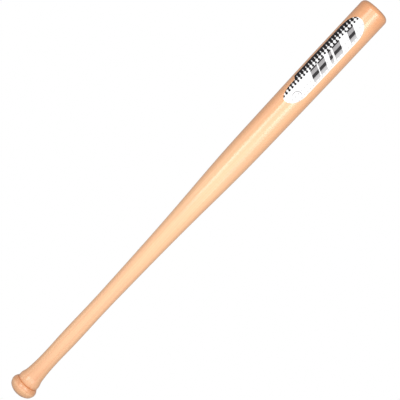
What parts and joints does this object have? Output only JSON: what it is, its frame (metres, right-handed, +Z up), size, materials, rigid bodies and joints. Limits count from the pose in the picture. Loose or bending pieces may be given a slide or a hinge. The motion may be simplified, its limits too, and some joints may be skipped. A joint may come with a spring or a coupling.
{
  "type": "baseball bat",
  "caption": "Short one-piece turned wooden baseball bat with a domed knob, a slim grip and an oval film label along the barrel.",
  "frame": {"origin": "centre of the flat end of the barrel, on which the bat stands", "axes": "+Z up the bat's axis from the barrel end to the knob; the middle of the label faces -Y"},
  "size_m": [0.0426, 0.0427, 0.7],
  "materials": {
    "varnished_wood": "satin",
    "label_film": "gloss"
  },
  "bodies": {
    "root": {"bat_body": "varnished_wood", "barrel_label": "label_film"}
  },
  "joints": []
}
